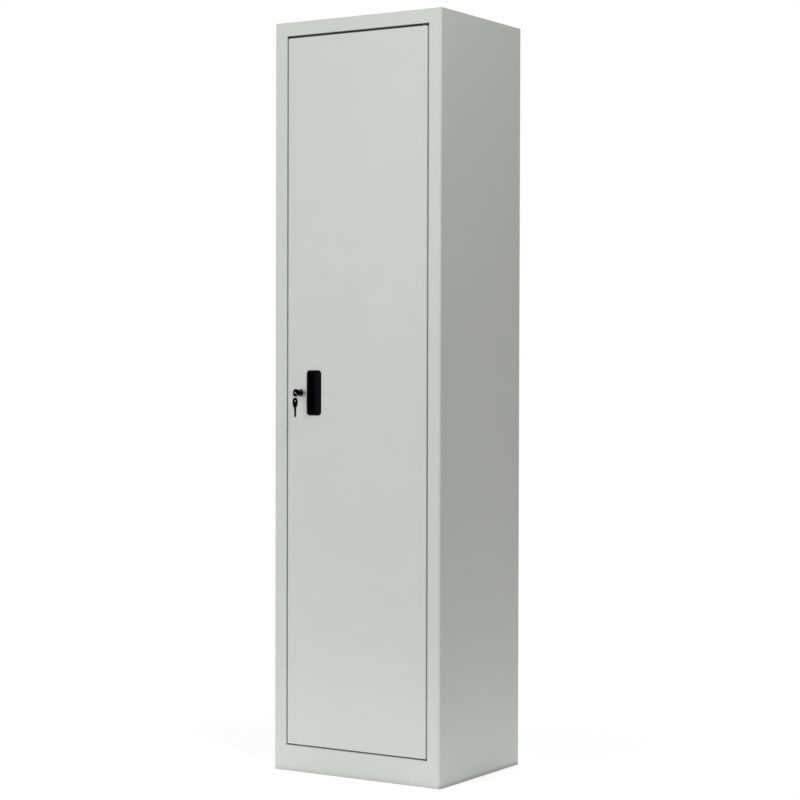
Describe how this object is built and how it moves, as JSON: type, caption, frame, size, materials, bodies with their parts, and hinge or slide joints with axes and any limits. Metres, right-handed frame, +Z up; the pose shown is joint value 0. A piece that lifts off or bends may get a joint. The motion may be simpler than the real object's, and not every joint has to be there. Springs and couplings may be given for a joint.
{
  "type": "single-door steel locker",
  "caption": "Tall slim steel locker with one flush door on concealed pivots, a recessed pull, a cam lock with keys, and shelves clipped into slotted uprights.",
  "frame": {"origin": "middle of the footprint of the cabinet, on the floor", "axes": "+Z up, -Y out of the door, +X towards the hinge side"},
  "size_m": [0.468, 0.415, 1.8],
  "materials": {
    "powder_coat": "satin light grey powder coat",
    "zinc_plated_steel": "bright zinc plate",
    "black_nickel_zinc": "polished black nickel plate on die cast zinc",
    "black_nickel_brass": "milled brass, plated with black nickel",
    "spring_steel": "nickel-plated wire",
    "black_abs": "moulded, fine satin",
    "nylon": "black nylon",
    "black_rubber": "matt"
  },
  "bodies": {
    "carcass": {"side_panel_left": "powder_coat", "side_panel_right": "powder_coat", "top_panel": "powder_coat", "base_tray": "powder_coat", "back_panel": "powder_coat", "upright_front_left": "powder_coat", "upright_front_right": "powder_coat", "upright_rear_left": "powder_coat", "upright_rear_right": "powder_coat", "shelf_1": "powder_coat", "shelf_2": "powder_coat", "shelf_3": "powder_coat", "shelf_4": "powder_coat", "shelf_clips": "zinc_plated_steel", "head_pivot_plate": "powder_coat", "floor_pivot_plate": "powder_coat", "upper_pivot_pin": "zinc_plated_steel", "lower_pivot_pin": "zinc_plated_steel", "floor_stop": "powder_coat", "door_buffers": "black_rubber"},
    "door": {"door_panel": "powder_coat", "door_stiffener": "powder_coat", "door_upper_plate": "powder_coat", "door_lower_plate": "powder_coat", "upper_bush": "nylon", "lower_bush": "nylon", "pull_cup": "black_abs", "lock_barrel": "black_nickel_zinc", "lock_nut": "zinc_plated_steel"},
    "lock": {"lock_plug": "black_nickel_zinc", "lock_cam": "zinc_plated_steel", "cam_screw": "zinc_plated_steel"},
    "key": {"key_blade": "black_nickel_brass", "key_bow": "black_abs"},
    "ring": {"key_ring": "spring_steel"},
    "spare_key": {"spare_key_blade": "black_nickel_brass", "spare_key_bow": "black_abs"}
  },
  "joints": [
    {"name": "door_swing", "type": "hinge", "parent": "carcass", "child": "door", "pos_m": [0.1855, -0.1805, 0.9], "axis": [0, 0, 1], "range_deg": [0, 115]},
    {"name": "lock_turn", "type": "hinge", "parent": "door", "child": "lock", "pos_m": [-0.1532, -0.1875, 0.912], "axis": [0, 1, 0], "range_deg": [0, 90]},
    {"name": "key_pull", "type": "slide", "parent": "lock", "child": "key", "axis": [0, -1, 0], "range_m": [0, 0.02]},
    {"name": "ring_swing", "type": "hinge", "parent": "key", "child": "ring", "pos_m": [-0.1532, -0.218, 0.90575], "axis": [0, 1, 0], "range_deg": [-95, 95]},
    {"name": "spare_key_swing", "type": "hinge", "parent": "ring", "child": "spare_key", "pos_m": [-0.1532, -0.218, 0.8947], "axis": [-1, 0, 0], "range_deg": [-35, 60]}
  ]
}
